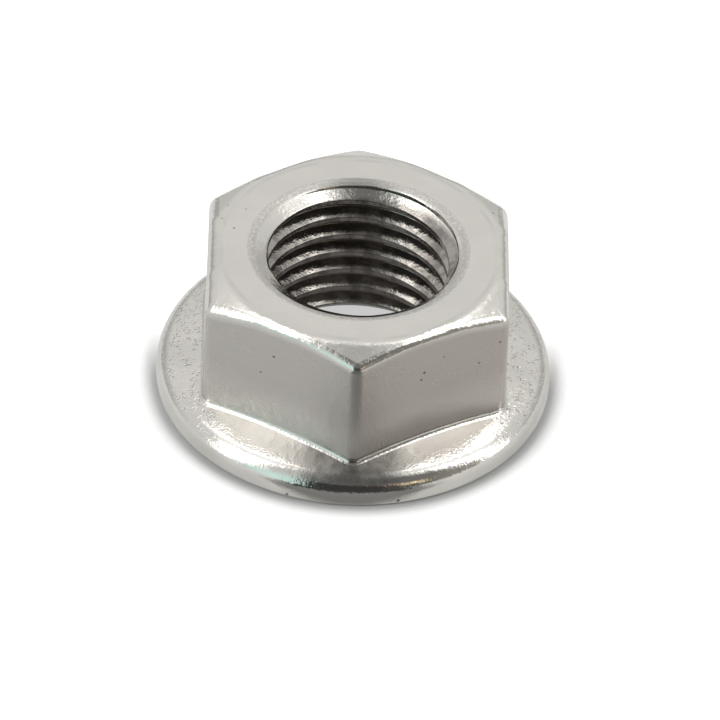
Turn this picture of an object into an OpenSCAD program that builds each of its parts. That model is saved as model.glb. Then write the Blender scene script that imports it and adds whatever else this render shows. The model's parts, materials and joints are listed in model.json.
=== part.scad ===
// Hexagon flange nut in one piece, standing on its flange with the thread axis along +Z.
// The origin is the middle of the bearing face and two upright corners lie on the Y axis.

/* [Hexagon] */
// Distance between opposite flats
across_flats = 14.05; // [13.6:0.05:14.5]
// Height from the bearing face to the top face
nut_h = 7.78; // [7.2:0.02:9]
// Radius of the rounded upright corners
corner_r = 0.6; // [0.3:0.05:0.9]
// Diameter of the level top face
top_face_d = 13.3; // [12.6:0.1:13.4]
// Slope of the chamfer that trims the top of the corners
chamfer_angle = 23.5; // [18:0.5:32]
// Radius that blends the top face into the chamfer
top_blend_r = 0.8; // [0.3:0.05:1]

/* [Flange] */
// Diameter over the rim
flange_d = 18.56; // [17.6:0.02:20]
// Slope of the crowned upper side
crown_angle = 14; // [8:1:18]
// Height of the crown carried out straight to the rim
crown_edge_h = 1.26; // [1.1:0.02:1.6]
// Radius of the shoulder between crown and rim
shoulder_r = 0.9; // [0.5:0.05:0.95]
// Small slant where the rim meets the bearing face
rim_break = 0.12; // [0.06:0.02:0.2]

/* [Bore] */
// Minor diameter of the thread
bore_d = 8.46; // [8.38:0.02:8.64]
// Diameter of the upper countersink at the top face, before its lip is rounded
mouth_d = 10; // [9.6:0.1:10.4]
// Slope of the upper countersink against the axis
mouth_angle = 60; // [56:1:62]
// Radius of the rounded lip of the upper countersink
lip_r = 0.8; // [0.4:0.05:0.9]
// Diameter of the lower countersink at the bearing face
foot_d = 10.2; // [9.6:0.1:10.6]
// Slope of the lower countersink against the axis
foot_angle = 45; // [40:1:50]

/* [Hidden] */
// How far cutting shapes run past the surfaces they trim
past = 1.5;
// Extra radius that lets a round cross its two tangents instead of grazing them
swell = 0.0005;
// Radius of the stock that the hexagon and the flange are cut from
stock_r = flange_d / 2 + past;
// Height inside the flange at which the hexagon begins
hex_base_z = crown_edge_h / 3;
// Angle from a corner to the middle of the next flat
half_side = 30;
// Distance from the axis to the centre of a corner's radius
corner_centre = (across_flats / 2 - corner_r) / cos(half_side);

// Where the top blend starts on the top face and ends on the chamfer
blend_in = [top_face_d / 2, nut_h];
blend_out = [
    top_face_d / 2 + top_blend_r * sin(chamfer_angle),
    nut_h - top_blend_r * (1 - cos(chamfer_angle))
];
// Height of the chamfer where it leaves the stock
chamfer_low_z = blend_out[1] - (stock_r - blend_out[0]) * tan(chamfer_angle);

// Length of the shoulder's tangents from the sharp corner of crown and rim
shoulder_reach = shoulder_r * tan((90 - crown_angle) / 2);
shoulder_low = [flange_d / 2, crown_edge_h - shoulder_reach];
shoulder_high = [
    flange_d / 2 - shoulder_reach * cos(crown_angle),
    crown_edge_h + shoulder_reach * sin(crown_angle)
];
// Height of the crown carried in to the axis
crown_axis_z = crown_edge_h + flange_d / 2 * tan(crown_angle);

// Slopes of the countersinks as a rise for each step outward
mouth_rise = 1 / tan(mouth_angle);
foot_rise = 1 / tan(foot_angle);
// Length of the lip's tangents from the sharp edge of mouth and top face
lip_reach = lip_r * tan((90 - mouth_angle) / 2);
lip_out = [mouth_d / 2 + lip_reach, nut_h];
lip_in = [
    mouth_d / 2 - lip_reach * sin(mouth_angle),
    nut_h - lip_reach * cos(mouth_angle)
];
// Heights at which the countersinks run into the bore
mouth_low_z = nut_h - (mouth_d - bore_d) / 2 * mouth_rise;
foot_high_z = (foot_d - bore_d) / 2 * foot_rise;

// Fineness of the round surfaces
$fa = 3;
$fs = 0.15;

// Hexagon with rounded corners, one corner on the Y axis.
module hexagon() {
    rotate(90) {
        polygon([
            for (corner = [0 : 5], side = [-1, 1])
                let (ray = 60 * corner, normal = ray + side * half_side)
                [
                    corner_centre * cos(ray) + corner_r * cos(normal),
                    corner_centre * sin(ray) + corner_r * sin(normal)
                ]
        ]);
        for (corner = [0 : 5])
            rotate(60 * corner)
                translate([corner_centre, 0])
                    circle(r = corner_r + swell);
    }
}

// Section of the crowned flange, solid to the axis.
module flange_section() {
    polygon([
        [0, 0],
        [flange_d / 2 - rim_break, 0],
        [flange_d / 2, rim_break],
        shoulder_low,
        shoulder_high,
        [0, crown_axis_z]
    ]);
    intersection() {
        translate([flange_d / 2 - shoulder_r, shoulder_low[1]])
            circle(r = shoulder_r + swell);
        translate([0, rim_break])
            square([stock_r, crown_axis_z]);
    }
}

// Section of the stock: bore, both countersinks, lip, top face and chamfer.
module stock_section() {
    polygon([
        [foot_d / 2 + past / foot_rise, -past],
        [stock_r, -past],
        [stock_r, chamfer_low_z],
        blend_out,
        blend_in,
        lip_out,
        lip_in,
        [bore_d / 2, mouth_low_z],
        [bore_d / 2, foot_high_z]
    ]);
    translate([blend_in[0], nut_h - top_blend_r])
        circle(r = top_blend_r + swell);
    translate([lip_out[0], nut_h - lip_r])
        circle(r = lip_r + swell);
}

// The whole nut: the turned stock kept where the hexagon or the flange reaches.
module flange_nut() {
    color([0.72, 0.71, 0.69])
        intersection() {
            rotate_extrude()
                stock_section();
            union() {
                translate([0, 0, hex_base_z])
                    linear_extrude(height = nut_h)
                        hexagon();
                rotate_extrude()
                    flange_section();
            }
        }
}

flange_nut();
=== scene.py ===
# %% [markdown]
# # A zinc-plated flange nut
#
# The real object is one forging: a hexagon with a wide washer foot, turned, tapped and plated.
# Everything here is one closed surface worked out with numpy, one metal with several finishes,
# and a small studio that gives the metal something to reflect.
# Lengths are named in millimetres and turned into metres as they reach Blender.

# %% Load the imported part
import json
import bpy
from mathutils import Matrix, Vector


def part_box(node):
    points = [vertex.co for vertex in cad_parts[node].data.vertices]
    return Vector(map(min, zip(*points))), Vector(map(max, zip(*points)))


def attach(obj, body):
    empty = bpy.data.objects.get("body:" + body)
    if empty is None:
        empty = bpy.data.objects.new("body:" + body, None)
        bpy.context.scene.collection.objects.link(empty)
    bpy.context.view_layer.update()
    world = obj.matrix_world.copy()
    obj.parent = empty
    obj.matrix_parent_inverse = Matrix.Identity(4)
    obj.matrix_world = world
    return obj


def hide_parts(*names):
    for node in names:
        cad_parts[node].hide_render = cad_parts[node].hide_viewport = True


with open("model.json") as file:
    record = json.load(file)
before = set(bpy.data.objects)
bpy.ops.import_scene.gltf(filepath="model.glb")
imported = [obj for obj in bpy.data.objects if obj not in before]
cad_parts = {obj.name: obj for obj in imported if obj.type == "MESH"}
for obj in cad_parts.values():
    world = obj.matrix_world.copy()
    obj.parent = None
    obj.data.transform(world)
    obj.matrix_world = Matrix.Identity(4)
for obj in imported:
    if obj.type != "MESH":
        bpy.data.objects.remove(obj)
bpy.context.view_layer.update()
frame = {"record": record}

from types import SimpleNamespace

import bpy
import numpy as np
from mathutils import Euler, Vector
from mathutils.bvhtree import BVHTree

MM = 0.001
PHOTO_SIZE = 720
low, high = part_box("flange_nut")
print("part box in mm:", [round(v / MM, 3) for v in (*low, *high)])

# %% [markdown]
# ## Camera
#
# A close-up of a small part is taken from well back with a long lens, so that the flats keep
# nearly parallel edges. The camera is placed by how it looks at a point inside the nut: its
# bearing around the nut, its height angle, its distance and a small roll of the whole frame.

# %% Camera
CAMERA_BEARING = 1.4935
CAMERA_HEIGHT = 40.682
CAMERA_ROLL = 2.835
CAMERA_DISTANCE = 297.13
LENS = 319.8
SENSOR = 36
AIM = (0.223, -3.433, 3.9)


def make_camera():
    """Camera at AIM minus its view direction times the distance, turned by bearing, height and roll."""
    data = bpy.data.cameras.new("camera")
    data.lens = LENS
    data.sensor_width = SENSOR
    data.clip_start = 10 * MM
    data.clip_end = 5000 * MM
    camera = bpy.data.objects.new("camera", data)
    bpy.context.scene.collection.objects.link(camera)
    tilt = Euler((np.radians(90 - CAMERA_HEIGHT), 0, np.radians(-CAMERA_BEARING))).to_matrix()
    spin = Euler((0, 0, np.radians(CAMERA_ROLL))).to_matrix()
    turn = tilt @ spin
    camera.rotation_euler = turn.to_euler()
    camera.location = Vector(AIM) * MM + turn @ Vector((0, 0, CAMERA_DISTANCE * MM))
    bpy.context.scene.camera = camera
    return camera


camera = make_camera()
print("camera at mm:", [round(v / MM, 1) for v in camera.location])

# %% [markdown]
# ## Sizes
#
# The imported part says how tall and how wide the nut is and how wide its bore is. The rest are the
# sizes that a maker's drawing gives. A hair of skin keeps the finished surface inside the part's box.

# %% Sizes in millimetres
SKIN = 0.003
NUT_H = high.z / MM - SKIN
RIM_R = high.x / MM - SKIN
thread_mount = next(m for m in frame["record"]["mounts"] if m["name"] == "thread")
CREST_R = thread_mount["dims"]["r_mm"]

ACROSS_FLATS = 14.05
CORNER_R = 0.6
TOP_FACE_R = 6.65
CHAMFER_ANGLE = np.radians(23.5)
TOP_BLEND_R = 0.8
CROWN_ANGLE = np.radians(14)
CROWN_EDGE_H = 1.26
SHOULDER_R = 0.9
RIM_BREAK = 0.12
MOUTH_R = 5.0
MOUTH_SLOPE = np.radians(30)
LIP_R = 0.8
FOOT_R = 5.1

PITCH = 1.0583
ROOT_R = 4.7625
ROOT_FLAT = PITCH / 5
FLANK_ANGLE = np.radians(30)

BASE_FILLET_R = 0.22
EDGE_R = 0.45
EDGE_GROWTH = 0.6
EDGE_GROWTH_FROM = 3.5
EDGE_GROWTH_OVER = 3
SHARP_R = 0.04
print("crest radius", CREST_R, "root radius", ROOT_R, "pitch", PITCH)

# %% [markdown]
# ## Outline of the hexagon
#
# A hexagon with rounded corners can be walked like a path: half a flat, a corner arc, half a flat,
# six times over. Each step of the walk gives a point and the direction that faces outwards there.
# The columns of the whole surface stand on these points, close together in the corners, where the
# form turns quickly, and wider apart on the flats.

# %% Walk round the hexagon
FLAT_STEPS = 18
CORNER_STEPS = 8
SUPPORT = 0.05


def hexagon_walk():
    """Points and outward directions round the hexagon, counter-clockwise from the middle of the +X flat.

    On a flat the point is the flat's middle plus a distance along it; in a corner it is the corner's
    centre plus the corner radius times the facing direction, which turns evenly through 60 degrees.
    """
    half_width = ACROSS_FLATS / 2
    half_flat = (half_width - CORNER_R) * np.tan(np.radians(30))
    reach = np.arctan((half_flat - SUPPORT) / half_width)
    along = np.tan(np.linspace(0, reach, FLAT_STEPS)) * half_width
    along = np.append(along, half_flat)
    turning = np.linspace(0, np.radians(60), CORNER_STEPS + 1)[1:]
    facing = np.concatenate([np.zeros(along.size), turning, np.full(along.size - 2, np.radians(60))])
    centre_r = (half_width - CORNER_R) / np.cos(np.radians(30))
    centre = centre_r * np.array([np.cos(np.radians(30)), np.sin(np.radians(30))])
    normal = np.stack([np.cos(facing), np.sin(facing)], 1)
    point = centre + CORNER_R * normal
    point[: along.size] = np.stack([np.full(along.size, half_width), along], 1)
    last = np.radians(60)
    side = np.array([-np.sin(last), np.cos(last)])
    back = along[::-1][1:-1, None]
    point[-back.size:] = half_width * np.array([np.cos(last), np.sin(last)]) - back * side
    turns = np.radians(60 * np.arange(6))
    spin = np.stack([np.cos(turns), -np.sin(turns), np.sin(turns), np.cos(turns)], 1).reshape(6, 2, 2)
    points = np.einsum("kij,nj->kni", spin, point).reshape(-1, 2)
    normals = np.einsum("kij,nj->kni", spin, normal).reshape(-1, 2)
    return points, normals


outline, facing = hexagon_walk()
bearing = np.unwrap(np.arctan2(outline[:, 1], outline[:, 0]))
COLUMNS = len(outline)
print("columns:", COLUMNS, "corner to corner:", round(2 * np.hypot(*outline.T).max(), 3))

# %% [markdown]
# ## Turned profiles
#
# Everything that a lathe would cut is a profile of radius and height. A sharp profile is easy to
# write down as a few corner points; a helper then rounds each corner with a true arc. Two close
# points beside each arc keep the shading of the straight parts flat.

# %% Round the corners of a profile
ARC_STEP = np.radians(8)


def rounded_profile(corners, radii, step=ARC_STEP, ease=SUPPORT):
    """A polyline of (radius, height) through corners, each inner corner replaced by an arc.

    The arc leaves the incoming side at the radius times the tangent of half the turn before the
    corner, and joins the outgoing side at the same distance after it.
    """
    corners = np.array(corners, float)
    pieces = [corners[:1]]
    for before, corner, after, radius in zip(corners, corners[1:], corners[2:], radii):
        come = (corner - before) / np.linalg.norm(corner - before)
        leave = (after - corner) / np.linalg.norm(after - corner)
        turn = np.arctan2(come[0] * leave[1] - come[1] * leave[0], come @ leave)
        tangent = radius * np.tan(abs(turn) / 2)
        side = np.sign(turn) * np.array([-come[1], come[0]])
        centre = corner - come * tangent + side * radius
        angles = np.linspace(0, abs(turn), max(3, int(np.ceil(abs(turn) / step)) + 1))
        arc = centre + radius * (np.outer(np.sin(angles), come) - np.outer(np.cos(angles), side))
        pieces += [arc[:1] - come * ease, arc, arc[-1:] + leave * ease]
    pieces.append(corners[-1:])
    return np.concatenate(pieces)


def crown_height(radius):
    """Height of the flange's upper side: a cone that falls outwards by the crown angle."""
    return CROWN_EDGE_H + (RIM_R - radius) * np.tan(CROWN_ANGLE)


def top_height(radius):
    """Height of the top: level, then an arc that turns down by the chamfer angle, then a cone."""
    reach = TOP_BLEND_R * np.sin(CHAMFER_ANGLE)
    along = np.clip(radius - TOP_FACE_R, 0, reach)
    drop = TOP_BLEND_R - np.sqrt(TOP_BLEND_R**2 - along**2)
    return NUT_H - drop - np.maximum(radius - TOP_FACE_R - reach, 0) * np.tan(CHAMFER_ANGLE)


# %% [markdown]
# ## Thread
#
# The thread is a groove with 60 degrees between its flanks, wound round the bore. Its profile is
# given along the axis over one pitch: a flat crest, a flank, a narrow flat root, a flank. Rows of
# points follow the helix, so every edge of the thread is a clean line of the mesh. The two
# countersinks cut the crests away: the wall lies wherever the larger of the radii says.

# %% Thread and countersinks
THREAD_LOW_Z = FOOT_R - ROOT_R - 0.02
LIP_REACH = LIP_R * np.tan(MOUTH_SLOPE / 2)
THREAD_HIGH_Z = NUT_H - LIP_REACH * np.sin(MOUTH_SLOPE)
CREST_ROUND = 0.05
ROOT_ROUND = 0.07
THREAD_START = 6.98
THREAD_STEP = np.radians(20)
THREAD_EASE = 0.012
BLEND = 0.02
FLANK_STEP = 0.09


def split_long(line, longest):
    """The polyline with its long sides cut into equal steps no longer than the given length."""
    pieces = []
    for start, end in zip(line, line[1:]):
        count = max(1, int(np.ceil(np.linalg.norm(end - start) / longest)))
        pieces.append(start + np.arange(count)[:, None] / count * (end - start))
    return np.concatenate(pieces + [line[-1:]])


def thread_profile():
    """One pitch of the thread as (height, radius): crest, upper flank, root, and flank back to the crest."""
    flank = (ROOT_R - CREST_R) * np.tan(FLANK_ANGLE)
    crest_flat = PITCH - ROOT_FLAT - 2 * flank
    corners = [
        (CREST_R, crest_flat / 2),
        (CREST_R, crest_flat),
        (ROOT_R, crest_flat + flank),
        (ROOT_R, crest_flat + flank + ROOT_FLAT),
        (CREST_R, PITCH),
        (CREST_R, PITCH + crest_flat / 2),
    ]
    rounds = [CREST_ROUND, ROOT_ROUND, ROOT_ROUND, CREST_ROUND]
    line = split_long(rounded_profile(corners, rounds, THREAD_STEP, THREAD_EASE), FLANK_STEP)
    return line[:-1, 1], line[:-1, 0]


def smooth_max(a, b, width):
    """The larger of two values, with the crease between them rounded over the given width."""
    near = np.clip(width - np.abs(a - b), 0, None)
    return np.maximum(a, b) + near**2 / (4 * width)


def mouth_radius(z):
    """Upper countersink: a wide cone, the drop below the top divided by the tangent of its slope."""
    return MOUTH_R - (NUT_H - z) / np.tan(MOUTH_SLOPE)


def bore_radius(radius, z):
    """Radius of the bore's wall where the thread has the given radius."""
    cut = smooth_max(mouth_radius(z), FOOT_R - z, BLEND)
    return smooth_max(radius, cut, BLEND)


thread_z, thread_r = thread_profile()
ROWS_PER_TURN = len(thread_z)
print("rows per turn of thread:", ROWS_PER_TURN)

# %% [markdown]
# ## Rows of the outer surface
#
# From the lower countersink the surface runs out along the bearing face, up the rim, over the
# shoulder and in along the crown. There it meets the hexagon in a small fillet, climbs the flats,
# turns over the edge of the chamfer and crosses the top face to the lip. Turned rows are circles;
# rows on the hexagon follow its outline; rows between them are drawn from one to the other.

# %% Outer rows
CROWN_ROWS = 7
FILLET_ROWS = 7
WALL_ROWS = 8
EDGE_ROWS = 7
CHAMFER_ROWS = 18
LIP_STEPS = 8
LEVEL_R = 6.3
INNER_LEVEL_R = 5.9
LOOK_AHEAD = 0.01
direction = np.stack([np.cos(bearing), np.sin(bearing)], 1)


def circle_rows(profile):
    """Rows of points: every (radius, height) of the profile on every bearing."""
    radius, height = np.array(profile, float).T
    flat = radius[:, None, None] * direction
    return np.concatenate([flat, np.broadcast_to(height[:, None, None], flat.shape[:2] + (1,))], 2)


def stack(flat, height):
    """Joins plan points and heights into rows of 3-D points."""
    return np.concatenate([flat, height[..., None]], -1)


def lower_profile():
    """Lower countersink, bearing face, rim and shoulder, ending where the shoulder meets the crown."""
    line = rounded_profile(
        [
            (FOOT_R - THREAD_LOW_Z, THREAD_LOW_Z),
            (FOOT_R, 0),
            (RIM_R - RIM_BREAK, 0),
            (RIM_R, RIM_BREAK),
            (RIM_R, CROWN_EDGE_H),
            (ACROSS_FLATS / 2, crown_height(ACROSS_FLATS / 2)),
        ],
        [SHARP_R, SHARP_R, SHARP_R, SHOULDER_R],
    )
    return line[:-1]


def base_rows(shoulder_end):
    """Crown rows and the fillet between crown and hexagon.

    Seen along the hexagon's facing direction the crown falls by its slope times the share of the
    facing direction that points away from the axis. The fillet is the arc that touches that line
    and the upright wall.
    """
    outward = np.sum(direction * facing, 1)
    slope = np.arctan(np.tan(CROWN_ANGLE) * outward)
    wall_r = np.hypot(*outline.T)
    corner_z = crown_height(wall_r)
    reach = BASE_FILLET_R * np.tan((np.pi / 2 - slope) / 2)
    part = np.linspace(0, 1, FILLET_ROWS)[:, None]
    angle = slope + part * (np.pi / 2 - slope)
    out = BASE_FILLET_R * (1 - np.sin(angle))
    lift = -reach * np.sin(slope) + BASE_FILLET_R * (np.cos(slope) - np.cos(angle))
    fillet = stack(outline + out[..., None] * facing, corner_z + lift)
    share = np.linspace(0, 1, CROWN_ROWS + 1)[1:-1, None, None]
    start = circle_rows([shoulder_end])[0][:, :2]
    flat = start + share * (fillet[0][:, :2] - start)
    crown = stack(flat, crown_height(np.hypot(flat[..., 0], flat[..., 1])))
    return crown, fillet


def wall_rows(fillet_top):
    """Flats, rounded top edge and chamfer.

    The edge is a quadratic curve with two equal legs: one runs down the wall, the other follows
    the slope of the top. The legs are the edge radius times the tangent of half the angle between.
    The radius grows towards the two outer corners, where the forging is more worn.
    """
    slope = CHAMFER_ANGLE
    outer_share = np.clip((np.abs(outline[:, 0]) - EDGE_GROWTH_FROM) / EDGE_GROWTH_OVER, 0, 1)
    edge_r = EDGE_R * (1 + EDGE_GROWTH * outer_share)
    for _ in range(3):
        leg = edge_r * np.tan((np.pi / 2 - slope) / 2)
        inner = outline - (leg * np.cos(slope))[..., None] * facing
        ahead = inner + LOOK_AHEAD * facing
        fall = top_height(np.hypot(*inner.T)) - top_height(np.hypot(*ahead.T))
        slope = np.arctan(fall / LOOK_AHEAD)
    finish = stack(inner, top_height(np.hypot(*inner.T)))
    handle = stack(outline, finish[:, 2] - leg * np.sin(slope))
    start = handle - leg[:, None] * np.array([0, 0, 1])
    share = np.concatenate([[0, 0.02], np.linspace(0.1, 0.9, WALL_ROWS - 4), [0.98, 1]])[1:-1, None, None]
    wall = fillet_top + share * (start - fillet_top)
    t = np.linspace(0, 1, EDGE_ROWS)[:, None, None]
    edge = (1 - t) ** 2 * start + 2 * t * (1 - t) * handle + t**2 * finish
    share = np.linspace(0, 1, CHAMFER_ROWS + 1)[1:, None, None]
    goal = LEVEL_R * direction
    flat = inner + share * (goal - inner)
    chamfer = stack(flat, top_height(np.hypot(flat[..., 0], flat[..., 1])))
    return wall, edge, chamfer


def upper_profile():
    """Level top face and the rounded lip down to where the thread begins."""
    centre_r = MOUTH_R + LIP_REACH
    angle = np.linspace(np.pi / 2, np.pi / 2 - MOUTH_SLOPE, LIP_STEPS)
    arc = np.stack([centre_r - LIP_R * np.cos(angle), NUT_H - LIP_R + LIP_R * np.sin(angle)], 1)
    level = [(r, NUT_H) for r in (INNER_LEVEL_R, centre_r + SUPPORT)]
    return np.concatenate([level, arc])


lower = lower_profile()
crown, fillet = base_rows(lower[-1])
wall, edge, chamfer = wall_rows(fillet[-1])
upper = upper_profile()
outer = np.concatenate([circle_rows(lower), crown, fillet, wall, edge, chamfer, circle_rows(upper)])
print("outer rows:", len(outer), "heights from", outer[..., 2].min(), "to", outer[..., 2].max())

# %% [markdown]
# ## Joining the thread to the rest
#
# The helical rows run past the ends of the bore and are held at the heights where the countersinks
# begin. Points held there are the points of the last circle, so the surface closes without a seam.
# After one turn, each row arrives one pitch higher and joins the row that started there.

# %% Helical rows and the closed mesh


def helix_rows():
    """Rows of (height, radius) along the helix: height is the row's own plus the pitch per turn.

    The first row starts more than one and a half pitches below the bore, and two turns are spare
    above it, so that the rows reach past both ends on every bearing.
    """
    turns = int(np.ceil((THREAD_HIGH_Z - THREAD_LOW_Z) / PITCH)) + 2
    first = THREAD_START - PITCH * np.ceil((THREAD_START - THREAD_LOW_Z) / PITCH + 1.6)
    row_z = (first + PITCH * np.arange(turns + 1)[:, None] + thread_z).ravel()
    row_r = np.tile(thread_r, turns + 1)
    z = row_z[:, None] + PITCH * (bearing - np.pi / 2) / (2 * np.pi)
    return z, bore_radius(row_r[:, None], np.clip(z, THREAD_LOW_Z, THREAD_HIGH_Z))


def join_surface():
    """Vertices and faces of the closed nut: rings for the outer rows, the thread between their ends."""
    z, r = helix_rows()
    below, above = z <= THREAD_LOW_Z, z >= THREAD_HIGH_Z
    rows = len(outer)
    outer_id = np.arange(rows * COLUMNS).reshape(rows, COLUMNS)
    own = ~(below | above)
    ids = np.where(below, outer_id[0], outer_id[-1])
    ids[own] = rows * COLUMNS + np.arange(own.sum())
    thread = np.stack([r * direction[:, 0], r * direction[:, 1], z], -1)[own]
    points = np.concatenate([outer.reshape(-1, 3), thread])
    right = np.roll(outer_id, -1, 1)
    outer_quads = np.stack([outer_id[:-1], right[:-1], right[1:], outer_id[1:]], -1).reshape(-1, 4)
    later = np.minimum(np.arange(len(ids)) + ROWS_PER_TURN, len(ids) - 1)
    beside = np.concatenate([ids[:, 1:], ids[later, :1]], 1)
    thread_quads = np.stack([ids[:-1], ids[1:], beside[1:], beside[:-1]], -1).reshape(-1, 4)
    return points, np.concatenate([outer_quads, thread_quads])


def clean_faces(quads):
    """Splits off the quads that shrank to triangles and drops those that shrank to a line."""
    same = quads == np.roll(quads, -1, 1)
    count = same.sum(1)
    four = quads[count == 0]
    three = quads[count == 1]
    keep = ~(three == np.roll(three, -1, 1))
    return four.tolist() + three[keep].reshape(-1, 3).tolist()


points, quads = join_surface()
faces = clean_faces(quads)
mesh = bpy.data.meshes.new("plated_nut")
mesh.from_pydata((points * MM).tolist(), [], faces)
mesh.validate()
mesh.shade_smooth()
plated_nut = bpy.data.objects.new("plated_nut", mesh)
bpy.context.scene.collection.objects.link(plated_nut)
print("vertices:", len(points), "faces:", len(faces))

# %% [markdown]
# ## Writing a finish as sums
#
# A material is a graph of small nodes. Wiring each one by hand hides what is meant, so a socket is
# wrapped in a class that knows how to add, subtract, multiply and divide. An expression such as
# `1 - mask` then adds the nodes by itself, and one more method makes any other kind of node.

# %% Shader helper


class Flow:
    """One output socket of a shader graph that can stand in a sum or a product."""

    def __init__(self, socket):
        self.socket = socket
        self.tree = socket.id_data

    @staticmethod
    def feed(socket, value):
        """Links a flow to an input socket, or sets a plain number or colour on it."""
        if isinstance(value, Flow):
            socket.id_data.links.new(value.socket, socket)
        else:
            socket.default_value = value

    @staticmethod
    def node(tree, kind, settings=None, inputs=None, output=0):
        """Adds a node: its settings first, then the values or links of its inputs."""
        made = tree.nodes.new(kind)
        for name, value in (settings or {}).items():
            setattr(made, name, value)
        for key, value in (inputs or {}).items():
            Flow.feed(made.inputs[key], value)
        return Flow(made.outputs[output])

    def math(self, operation, *others):
        """A Math node on this flow and the others."""
        inputs = dict(enumerate((self, *others)))
        return Flow.node(self.tree, "ShaderNodeMath", {"operation": operation}, inputs)

    def __add__(self, other):
        return self.math("ADD", other)

    def __radd__(self, other):
        return self + other

    def __sub__(self, other):
        return self.math("SUBTRACT", other)

    def __rsub__(self, other):
        return (self * -1) + other

    def __mul__(self, other):
        return self.math("MULTIPLY", other)

    def __rmul__(self, other):
        return self * other

    def __truediv__(self, other):
        return self.math("DIVIDE", other)

    def __pow__(self, other):
        return self.math("POWER", other)

    def between(self, start, end):
        """A smooth step: 0 where the flow is at start, 1 where it is at end."""
        settings = {"interpolation_type": "SMOOTHSTEP"}
        inputs = {"Value": self, "From Min": start, "From Max": end}
        return Flow.node(self.tree, "ShaderNodeMapRange", settings, inputs)

    def tint(self, start, end):
        """A colour that goes from start to end as the flow goes from 0 to 1."""
        settings = {"data_type": "RGBA"}
        return Flow.node(self.tree, "ShaderNodeMix", settings, {0: self, 6: start, 7: end}, 2)

    def parts(self):
        """The three parts of a vector."""
        node = Flow.node(self.tree, "ShaderNodeSeparateXYZ", inputs={0: self}).socket.node
        return [Flow(socket) for socket in node.outputs]


def grey(value):
    """A neutral colour of the given strength."""
    return (value, value, value, 1)


print("shader helper ready")

# %% [markdown]
# ## Studio
#
# Bright metal has no colour of its own to speak of: it shows the room. This room is a white tent.
# Two long softboxes lean together over the nut like the sides of a roof. They are weaker in the
# band that the mouth and the thread mirror. The front is left open and dark, where the camera
# stands. A cool light fills the tent low in front on the left, with a warm and a rosy spot beside.
# The room is painted on a chart of the sky: the middle of the chart is straight up, each step
# outwards is one degree further down, and bearings stay as they are. Every border is a straight
# line on this chart with a soft edge. The camera itself sees plain white behind the nut.

# %% Sky chart
DEGREES = 180 / np.pi


def sky_chart(tree):
    """Angle from the zenith, and the chart position: that angle times the level direction's two parts."""
    x, y, z = Flow.node(tree, "ShaderNodeTexCoord", output="Generated").parts()
    level = (x * x + y * y).math("SQRT").math("MAXIMUM", 0.001)
    fall = z.math("ARCCOSINE") * DEGREES
    return fall, fall * x / level, fall * y / level


def behind(right, back, start, end, soft):
    """A soft step across the chart line from start to end: 1 on the line's left-hand side.

    The signed distance is the position's share along the line's left-hand normal, less the line's own.
    """
    along = np.subtract(end, start) / np.hypot(*np.subtract(end, start))
    offset = along[0] * start[1] - along[1] * start[0]
    distance = back * along[0] - right * along[1] - offset
    return distance.between(-soft, soft)


print("one chart step is one degree,", round(DEGREES, 3), "degrees in a radian")

# %% Room lights
SOFTBOX = (3.1, 3.1, 3.05, 1)
SOFTBOX_DIM = (1.2, 1.19, 1.17, 1)
TENT = (0.84, 0.84, 0.83, 1)
TENT_FOOT = (0.54, 0.54, 0.53, 1)
FRONT_HIGH = (0.20, 0.20, 0.195, 1)
FRONT_LOW = (0.05, 0.05, 0.05, 1)
RIGHT_FRONT = (0.40, 0.39, 0.35, 1)
LEFT_HIGH = (0.72, 0.73, 0.72, 1)
COOL_FILL = (0.80, 1.06, 1.03, 1)
LEFT_LOW = (0.52, 0.53, 0.53, 1)
WARM_SPOT = (1.5, 1.3, 0.85, 1)
WARM_PLACE = (38, -55)
ROSY_SPOT = (0.42, 0.27, 0.28, 1)
ROSY_PLACE = (24, -52)


def distance_to(right, back, place):
    """Distance on the chart: the root of the sum of the two squared offsets from the place."""
    return ((right - place[0]) ** 2 + (back - place[1]) ** 2).math("SQRT")


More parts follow.
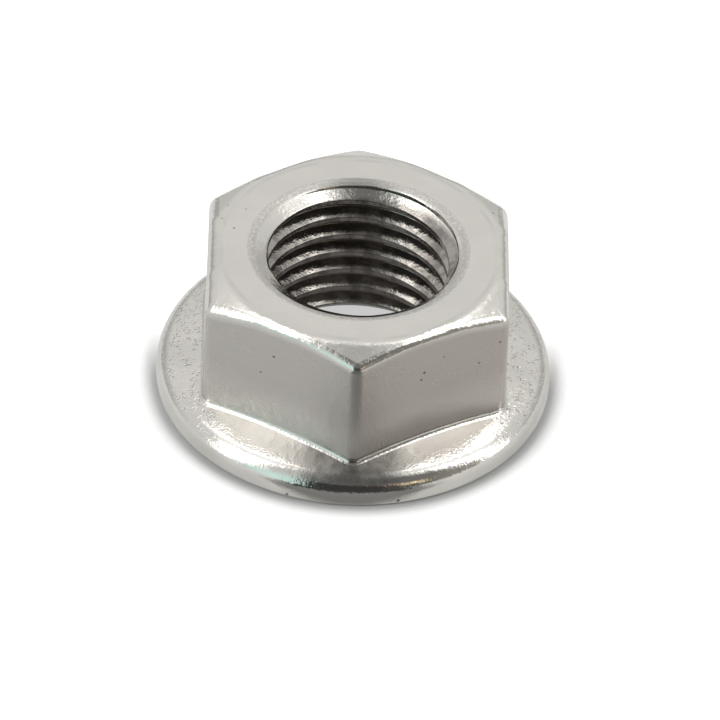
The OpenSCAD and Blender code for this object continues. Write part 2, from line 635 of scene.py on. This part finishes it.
def room_colour(tree):
    """Layers the room from the dark front to the tent, each over the one before."""
    fall, right, back = sky_chart(tree)
    left_of_gap = behind(right, back, (-12.5, -9), (-7, 3), 1.5)
    left_of_gap = left_of_gap * behind(right, back, (-7, 3), (-5.5, 22), 1.5)
    right_of_gap = behind(right, back, (7, 3), (13, -9), 1.5)
    right_of_gap = right_of_gap * behind(right, back, (5.5, 24), (7, 3), 1.5)
    room = back.between(-35, -62).tint(FRONT_HIGH, FRONT_LOW)
    slope = behind(right, back, (0, 8), (50, -30), 9) * right.between(0, 12)
    far_right = right.between(15, 95)
    room = slope.math("MAXIMUM", far_right).tint(room, RIGHT_FRONT)
    right_edge = right_of_gap * behind(right, back, (10, -13), (34, -17), 3)
    room = right_edge.tint(room, LEFT_HIGH)
    cool = back.between(-22, -55).tint(LEFT_HIGH, COOL_FILL)
    cool = right.between(-62, -92).tint(cool, LEFT_LOW)
    room = behind(right, back, (-43, -95), (-12, -9), 4).tint(room, cool)
    warm = distance_to(right, back, WARM_PLACE).between(9, 4)
    rosy = distance_to(right, back, ROSY_PLACE).between(8, 4)
    room = warm.tint(rosy.tint(room, ROSY_SPOT), WARM_SPOT)
    left_box = behind(right, back, (-50, -35), (-5, 13), 4) * behind(right, back, (-100, -36), (-50, -36), 5)
    right_box = (
        behind(right, back, (4, 20), (16, 1), 4)
        * behind(right, back, (16, 1), (34, -12), 4)
        * behind(right, back, (34, -12), (80, -21), 4)
    )
    dim = back.between(0, 5) * back.between(20, 14)
    softbox = dim.tint(SOFTBOX, SOFTBOX_DIM)
    room = (left_box * left_of_gap + right_box * right_of_gap).tint(room, softbox)
    foot = fall.between(60, 80) * back.between(0, 40)
    tent = foot.tint(TENT, TENT_FOOT)
    left_tent = behind(right, back, (-48, -3), (-33, 20), 3) * behind(right, back, (-100, -29), (-48, -4), 4)
    left_tent = left_tent.math("MAXIMUM", behind(right, back, (-33, 19), (-8, 33), 3))
    right_tent = behind(right, back, (18, 35), (50, 4), 4) * behind(right, back, (50, 4), (110, -6), 4)
    beyond = left_tent.math("MAXIMUM", right_tent).math("MAXIMUM", back.between(32, 40))
    return beyond.tint(room, tent)


def make_world():
    """The room for light and reflections, plain white for the camera."""
    world = bpy.data.worlds.new("studio")
    world.use_nodes = True
    tree = world.node_tree
    tree.nodes.clear()
    path = tree.nodes.new("ShaderNodeLightPath")
    room = Flow.node(tree, "ShaderNodeBackground", inputs={"Color": room_colour(tree), "Strength": 1.0})
    white = Flow.node(tree, "ShaderNodeBackground", inputs={"Color": grey(1), "Strength": 1.0})
    seen = Flow(path.outputs["Is Camera Ray"])
    both = Flow.node(tree, "ShaderNodeMixShader", inputs={0: seen, 1: room, 2: white})
    out = tree.nodes.new("ShaderNodeOutputWorld")
    Flow.feed(out.inputs["Surface"], both)
    bpy.context.scene.world = world
    return world


studio = make_world()
print("studio nodes:", len(studio.node_tree.nodes))

# %% [markdown]
# ## Floor
#
# The nut stands on a white sheet. Under a plain light such a sheet is a light grey, so the part of
# it that the camera sees gets a little light of its own: open sheet then reaches white, and the
# shadow of the nut stays on it. The soft shadow is darkened close to the nut by ambient occlusion.
# Metal sees the sheet dimmer than the camera does, and nearly black in a wedge in front of the nut,
# because the rim of the real nut mirrors an unlit front. Both are choices for this one picture.

# %% Floor sheet
FLOOR_SIZE = 600
FLOOR_COLOUR = 0.66
FLOOR_LIFT = 0.72
FLOOR_LIFT_IN_METAL = 0.22
CONTACT_REACH = 3.5
# Fixed glow of the sheet under the nut: painted light through the bore.
LIGHT_THROUGH_BORE = 0.78
CONTACT_START = 0.635
CONTACT_END = 0.98
SHADED_SHARE = 0.8
MIRRORED_AIR = 0.7
NEAR_FRONT_SHARE = 0.7
WEDGE_SLOPE = 0.55
UNDER_NUT_DARK = 0.25
# Tone of the sheet under the nut: painted shade.
UNDER_NUT_SHADE_TONE = 0.3
FRONT_TONE = 0.06


def contact_shade(tree):
    """Share of open air over a point of the sheet: low beside the nut's front, 1 away from it and behind."""
    inputs = {"Distance": CONTACT_REACH * MM}
    air = Flow.node(tree, "ShaderNodeAmbientOcclusion", {"samples": 16}, inputs, "AO")
    air = air.between(CONTACT_START, CONTACT_END)
    back = Flow.node(tree, "ShaderNodeTexCoord", output="Object").parts()[1]
    return air.math("MAXIMUM", back.between(-1 * MM, 5 * MM))


def dark_front(tree):
    """Share of the sheet in the wedge in front of the nut: a smooth step of depth times one of width."""
    x, y = Flow.node(tree, "ShaderNodeTexCoord", output="Object").parts()[:2]
    depth = y.between(-9.0 * MM, -9.6 * MM) * NEAR_FRONT_SHARE
    depth = depth.math("MAXIMUM", y.between(-11.5 * MM, -13.5 * MM))
    return depth * (x.math("ABSOLUTE") + y * WEDGE_SLOPE).between(2 * MM, -2 * MM)


def under_nut(tree):
    """Share of the sheet that lies under the nut, where only the light through the bore falls."""
    x, y = Flow.node(tree, "ShaderNodeTexCoord", output="Object").parts()[:2]
    return (x * x + y * y).math("SQRT").between(7.5 * MM, 6.5 * MM)


def make_floor():
    """A level square sheet at height zero, its middle under the nut."""
    half = FLOOR_SIZE / 2 * MM
    mesh = bpy.data.meshes.new("floor_sheet")
    corners = [(-half, -half, 0), (half, -half, 0), (half, half, 0), (-half, half, 0)]
    mesh.from_pydata(corners, [], [(0, 1, 2, 3)])
    sheet = bpy.data.objects.new("floor_sheet", mesh)
    bpy.context.scene.collection.objects.link(sheet)
    material = bpy.data.materials.new("white sheet")
    material.use_nodes = True
    tree = material.node_tree
    tree.nodes.clear()
    path = tree.nodes.new("ShaderNodeLightPath")
    seen = Flow(path.outputs["Is Camera Ray"])
    mirrored = Flow(path.outputs["Is Glossy Ray"]) + Flow(path.outputs["Is Transmission Ray"])
    air = contact_shade(tree)
    inside = under_nut(tree)
    # Under the nut the sheet is painted: a fixed glow stands in for the light through the bore, and a darker
    # tone and a dimmer mirror for its shade.
    dark = mirrored * dark_front(tree).math("MAXIMUM", inside * UNDER_NUT_DARK)
    shown = air * (1 - inside) + inside * LIGHT_THROUGH_BORE
    lift = (seen * FLOOR_LIFT * shown + mirrored * FLOOR_LIFT_IN_METAL) * (1 - dark)
    lit = air.math("MAXIMUM", mirrored * MIRRORED_AIR)
    colour = lit.tint(grey(FLOOR_COLOUR * SHADED_SHARE), grey(FLOOR_COLOUR))
    colour = inside.tint(colour, grey(UNDER_NUT_SHADE_TONE))
    colour = dark.tint(colour, grey(FRONT_TONE))
    paper = Flow.node(tree, "ShaderNodeBsdfDiffuse", inputs={"Color": colour})
    glow = Flow.node(tree, "ShaderNodeEmission", inputs={"Color": grey(1), "Strength": lift})
    both = Flow.node(tree, "ShaderNodeAddShader", inputs={0: paper, 1: glow})
    out = tree.nodes.new("ShaderNodeOutputMaterial")
    Flow.feed(out.inputs["Surface"], both)
    mesh.materials.append(material)
    return sheet


floor_sheet = make_floor()
print("floor sheet", FLOOR_SIZE, "mm wide")

# %% [markdown]
# ## Zones of the finish
#
# Each part of a real nut is finished by another tool: pressed flats, a turned top, a rounded lip, a
# tapped thread and a crowned foot. One material can show them all if each vertex knows which zone
# it belongs to. The rows of the surface already say so, and the shares are stored as attributes of
# the mesh. Painting the zones by hand would have to be done again after every change of size.

# %% Zone attributes
FLAT_FADE_ROWS = 4
CORNER_TURN = 12
THREAD_TOP_Z = 7.32
THREAD_FADE = 0.1
THREAD_LIMIT_R = 5.2
THREAD_FROM_Z = 0.02
THREAD_LIP_ROWS = 5
LIP_FIRST_ROW = 7
SHOULDER_ROWS = 6


def row_shares():
    """Shares per vertex: flat, upright corner, turned top, lip of the mouth, thread and crown.

    The flat fades over its edge rows; the corner grows with the angle turned away from the flats.
    """
    count = len(points)
    outer_count = len(outer) * COLUMNS
    radius = np.hypot(points[:, 0], points[:, 1])
    row = np.minimum(np.arange(count) // COLUMNS, len(outer))
    crown_start = len(lower)
    wall_start = crown_start + CROWN_ROWS - 1 + FILLET_ROWS
    edge_start = wall_start + len(wall)
    top_start = edge_start + EDGE_ROWS
    flat = (row >= wall_start) * np.clip(1 - (row - edge_start + 1) / FLAT_FADE_ROWS, 0, 1)
    turned = np.degrees(np.arctan2(facing[:, 1], facing[:, 0])) % 60
    off = np.tile(np.minimum(turned, 60 - turned), len(outer))
    corner = np.zeros(count)
    corner[:outer_count] = np.clip(off / CORNER_TURN, 0, 1)
    corner *= flat
    top = ((row >= top_start) & (row < len(outer))).astype(float)
    height = points[:, 2]
    thread = np.clip((THREAD_TOP_Z - height) / THREAD_FADE, 0, 1)
    thread = thread * (radius < THREAD_LIMIT_R) * (height > THREAD_FROM_Z)
    thread[:outer_count] *= row[:outer_count] >= len(outer) - THREAD_LIP_ROWS
    crown_share = ((row >= crown_start - SHOULDER_ROWS) & (row < crown_start + CROWN_ROWS)).astype(float)
    lip = ((row >= len(outer) - LIP_FIRST_ROW) & (row < len(outer) - 1)).astype(float)
    return {"flat": flat, "corner": corner, "top": top, "lip": lip, "thread": thread, "crown": crown_share}


for name, share in row_shares().items():
    mesh.attributes.new(name, "FLOAT", "POINT").data.foreach_set("value", share.astype(np.float32))
print("zones:", [a.name for a in mesh.attributes if a.data_type == "FLOAT"])

# %% [markdown]
# ## Small pits
#
# Plating keeps a few pinholes, and nuts that are tumbled together get small dents. Noise would put
# them anywhere, so each mark has its own place, found by a ray from the camera through a pixel of
# the picture to the nut. Each is a smooth dark spot of a given radius in millimetres.

# %% Places of the pits
PITS = [
    (499, 216, 0.10),
    (493, 213, 0.07),
    (234, 228, 0.07),
    (228, 205, 0.05),
    (222, 218, 0.05),
    (246, 209, 0.05),
    (274, 357, 0.09),
    (261, 372, 0.07),
    (500, 342, 0.08),
    (424, 373, 0.10),
    (444, 357, 0.06),
    (479, 363, 0.07),
    (421, 380, 0.08),
    (398, 500, 0.12),
    (287, 494, 0.10),
]
nut_tree = BVHTree.FromPolygons((points * MM).tolist(), faces)


def place_at_pixel(x, y):
    """The nut's point at a pixel: the ray leaves the camera by pixel offset times sensor over lens."""
    step = SENSOR / LENS / PHOTO_SIZE
    ray = Vector(((x - PHOTO_SIZE / 2) * step, (PHOTO_SIZE / 2 - y) * step, -1))
    ray.rotate(camera.rotation_euler)
    return nut_tree.ray_cast(camera.location, ray.normalized())[0]


def pit_mask(tree, place):
    """1 in the middle of each pit and 0 outside: the largest of the smooth steps of distance over radius."""
    mask = 0.0
    for x, y, radius in PITS:
        point = place_at_pixel(x, y)
        inputs = {0: place, 1: tuple(point)}
        away = Flow.node(tree, "ShaderNodeVectorMath", {"operation": "DISTANCE"}, inputs, "Value")
        pit = away.between(radius * MM, radius * 0.3 * MM)
        mask = pit.math("MAXIMUM", mask)
    return mask


print("pits:", len(PITS))

# %% [markdown]
# ## Tones of the plate
#
# Zinc plate is a metal with a soft sheen, so its base colour is what it reflects. The tones below
# are linear red, green and blue. Those of the two front flats, of the foot of the flats and of the
# back of the lip differ because the light in the picture does: they are painted, not made.

# %% Tones
PLATE_DARK = (0.66, 0.64, 0.605, 1)
PLATE_LIGHT = (0.71, 0.69, 0.65, 1)
TOP_TONE = (0.583, 0.565, 0.53, 1)
FLAT_LEFT = (0.47, 0.443, 0.42, 1)
# Darker tone of the flats on the right side: painted shade.
FLAT_RIGHT_PAINTED_SHADE = (0.44, 0.40, 0.365, 1)
# Lighter tone at the foot of the flats: painted light.
FLAT_FOOT_PAINTED_LIGHT = (0.66, 0.615, 0.58, 1)
SPECK_TONE = (0.36, 0.33, 0.30, 1)
# Tone of the darker patch on the front of the crown.
FRONT_PATCH_TONE = (0.17, 0.165, 0.16, 1)
RING_TONE = (0.40, 0.39, 0.37, 1)
CAST_PIT_TONE = (0.30, 0.28, 0.26, 1)
PIT_TONE = (0.10, 0.08, 0.07, 1)
THREAD_DARK = (0.25, 0.232, 0.215, 1)
THREAD_LIGHT = (0.40, 0.372, 0.345, 1)
# Darker, browner tone towards the roots of the thread.
ROOT_TONE = (0.33, 0.30, 0.265, 1)
LIP_TONE = (0.46, 0.44, 0.42, 1)
# Darker tone at the back of the lip: painted shade.
LIP_BACK_SHADE = (0.26, 0.25, 0.24, 1)
print("plate from", PLATE_DARK[:3], "to", PLATE_LIGHT[:3])

# %% [markdown]
# ## Marks of making and use
#
# Three noises of falling size stand for clouds in the plating, its ripple and its grain. Marks are
# noises held inside a place: cast pits on both sides of the crown, a darker, rougher patch on the
# front of the crown, a faint ring from turning at radius 6.5 mm, a darker, browner tone in the roots
# of the thread and a painted shade at the back of the lip. The tap's chatter is a noise drawn out
# along the axis. All of them read Object coordinates, so they stay on the nut as it moves.

# %% Masks of the marks
ZONES = ("flat", "corner", "top", "lip", "thread", "crown")
CLOUD_SCALE = 500.0
RIPPLE_SCALE = 2500.0
GRAIN_SCALE = 9000.0
CHATTER_SCALE = 1600.0
CHATTER_STRETCH = (1.0, 1.0, 0.15)
RING_R = 6.5


def noise(tree, place, scale, detail):
    """A noise of the given scale, in cells per metre, at the place."""
    inputs = {"Vector": place, "Scale": scale, "Detail": detail}
    return Flow.node(tree, "ShaderNodeTexNoise", inputs=inputs)


def read_marks(tree):
    """Zones, noises and marks as named flows: a mark is a noise or a step times its place."""
    place = Flow.node(tree, "ShaderNodeTexCoord", output="Object")
    m = SimpleNamespace()
    for name in ZONES:
        setattr(m, name, Flow.node(tree, "ShaderNodeAttribute", {"attribute_name": name}, output="Fac"))
    m.x, m.y, m.z = place.parts()
    m.clouds = noise(tree, place, CLOUD_SCALE, 3.0)
    m.ripple = noise(tree, place, RIPPLE_SCALE, 2.0)
    m.grain = noise(tree, place, GRAIN_SCALE, 3.0)
    m.patch = m.clouds.between(0.35, 0.65)
    m.speck = m.grain.between(0.58, 0.74)
    m.pits = pit_mask(tree, place)
    off_axis = m.x.math("ABSOLUTE")
    radius = (m.x * m.x + m.y * m.y).math("SQRT")
    side = off_axis.between(5.8 * MM, 7.2 * MM)
    m.cast_pits = m.ripple.between(0.44, 0.58) * m.grain.between(0.48, 0.62) * side * m.crown
    # A darker, rougher patch on the front of the crown and shoulder.
    m.scuffed = off_axis.between(2.7 * MM, 1.4 * MM) * m.y.between(-5.6 * MM, -6.8 * MM) * m.crown
    # A darker, browner tone towards the roots of the thread.
    m.oil = radius.between(4.50 * MM, 4.74 * MM) * m.thread
    from_ring = (radius - RING_R * MM).math("ABSOLUTE")
    m.ring = from_ring.between(0.16 * MM, 0.04 * MM) * m.top * m.clouds.between(0.4, 0.6)
    # Mask for a painted shade at the back of the lip.
    m.dull = off_axis.between(2.2 * MM, 0.2 * MM) * m.y.between(3.0 * MM, 4.0 * MM) * m.lip
    upright = Flow.node(tree, "ShaderNodeMapping", inputs={"Vector": place, "Scale": CHATTER_STRETCH})
    m.chatter = noise(tree, upright, CHATTER_SCALE, 2.0).between(0.4, 0.6)
    return m


print("zones read by the plate:", len(ZONES))

# %% [markdown]
# ## Zinc plate
#
# The colour is laid on in coats, each one over the last where its mask says so. The flats, the
# thread and the turned top are satin, which is a metal shader with a part of plain diffuse in it;
# that also keeps the top from turning black where it mirrors a dark room. Heights in the bump are
# in millimetres and only carry what is too fine for the mesh.

# %% Zinc plate material


def plate_colour(m):
    """Base colour: plate, top, flats with a painted shade on the right and a painted light at their foot,
    specks, front patch, ring, pits, thread, root tone, lip and a painted shade at the back of the lip,
    in this order.
    """
    colour = m.patch.tint(PLATE_DARK, PLATE_LIGHT)
    colour = (m.top * 0.5).tint(colour, TOP_TONE)
    colour = m.flat.tint(colour, FLAT_LEFT)
    # The flats on the right side get a painted shade, and the foot of every flat a painted light.
    colour = (m.flat * m.x.between(-0.3 * MM, 0.3 * MM)).tint(colour, FLAT_RIGHT_PAINTED_SHADE)
    colour = (m.flat * m.z.between(4.6 * MM, 2.6 * MM) * 0.45).tint(colour, FLAT_FOOT_PAINTED_LIGHT)
    colour = (m.speck * m.flat * 0.25).tint(colour, SPECK_TONE)
    veil = 0.5 + m.clouds.between(0.65, 0.35) * 0.25 + m.ripple.between(0.65, 0.35) * 0.2
    colour = (m.scuffed * veil).tint(colour, FRONT_PATCH_TONE)
    colour = (m.ring * 0.3).tint(colour, RING_TONE)
    colour = (m.cast_pits * 0.6).tint(colour, CAST_PIT_TONE)
    colour = (m.pits * 0.8).tint(colour, PIT_TONE)
    colour = m.thread.tint(colour, m.chatter.tint(THREAD_DARK, THREAD_LIGHT))
    colour = (m.oil * 0.6).tint(colour, ROOT_TONE)
    colour = (m.lip * m.grain.between(0.70, 0.45)).tint(colour, LIP_TONE)
    # The back of the lip gets a painted shade.
    return (m.dull * 0.8).tint(colour, LIP_BACK_SHADE)


def plate_roughness(m):
    """Roughness: a smooth plate plus a share for each zone and mark."""
    rough = 0.06 + m.flat * 0.14 + m.top * 0.13 + m.grain * 0.04 + m.patch * m.flat * 0.05
    rough = rough - m.thread * 0.03 + m.scuffed * 0.2
    return rough + m.corner * 0.06 + m.lip * 0.22


def plate_height(m):
    """Bump height in millimetres: clouds, ripple and grain, less the pits."""
    height = m.clouds * 0.02 + m.ripple * (0.014 - m.crown * 0.005)
    height = height + m.grain * (0.010 - m.crown * 0.004 + m.lip * 0.002)
    return height - m.pits * 0.03 - m.cast_pits * 0.012


def make_zinc():
    """The plate: colour, roughness, share of metal and bump, all read from the same marks."""
    material = bpy.data.materials.new("zinc plate")
    material.use_nodes = True
    tree = material.node_tree
    shader = tree.nodes["Principled BSDF"]
    m = read_marks(tree)
    Flow.feed(shader.inputs["Base Color"], plate_colour(m))
    Flow.feed(shader.inputs["Roughness"], plate_roughness(m))
    Flow.feed(shader.inputs["Metallic"], 1 - m.flat * 0.5 - m.thread * 0.12 - m.top * 0.4)
    inputs = {"Height": plate_height(m), "Distance": MM, "Strength": 1.0}
    Flow.feed(shader.inputs["Normal"], Flow.node(tree, "ShaderNodeBump", inputs=inputs))
    return material


zinc = make_zinc()
mesh.materials.append(zinc)
print("material:", zinc.name)

# %% [markdown]
# ## Hand over
#
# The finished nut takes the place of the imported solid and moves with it.

# %% Place and finish
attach(plated_nut, "root")
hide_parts("flange_nut")
bpy.context.scene.view_settings.view_transform = "Standard"
